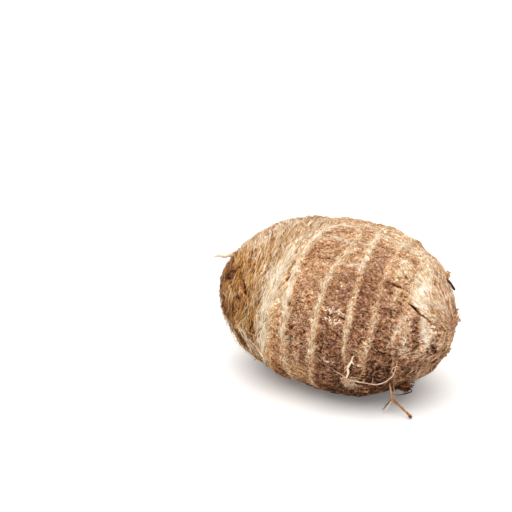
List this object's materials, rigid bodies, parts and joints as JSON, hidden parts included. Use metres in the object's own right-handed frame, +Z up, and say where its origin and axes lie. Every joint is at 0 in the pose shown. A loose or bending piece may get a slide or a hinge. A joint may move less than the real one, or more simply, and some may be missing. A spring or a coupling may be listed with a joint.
{
  "type": "taro root",
  "caption": "Small taro corm lying on its side, egg-like and ringed by leaf scars, with a shaggy crown, dry husk flakes and thin dry roots.",
  "frame": {"origin": "under the middle of the corm's box, on the surface that the flattened belly rests on", "axes": "+X runs along the corm towards its scarred end, +Z is up, out of the surface it lies on"},
  "size_m": [0.0916, 0.0624, 0.0606],
  "materials": {
    "corm_skin": "matt, scurfy brown skin with cream rings and golden husk fibre",
    "cream_root": "matt, dry and wrinkled",
    "ochre_root": "satin, dry and wrinkled",
    "dry_husk": "matt, papery and frayed"
  },
  "bodies": {
    "root": {"corm": "corm_skin", "trailing_root": "cream_root", "root_stub": "cream_root", "side_root": "cream_root", "forked_root": "ochre_root", "end_flake": "dry_husk", "side_flake": "dry_husk", "ragged_flake": "dry_husk"}
  },
  "joints": []
}
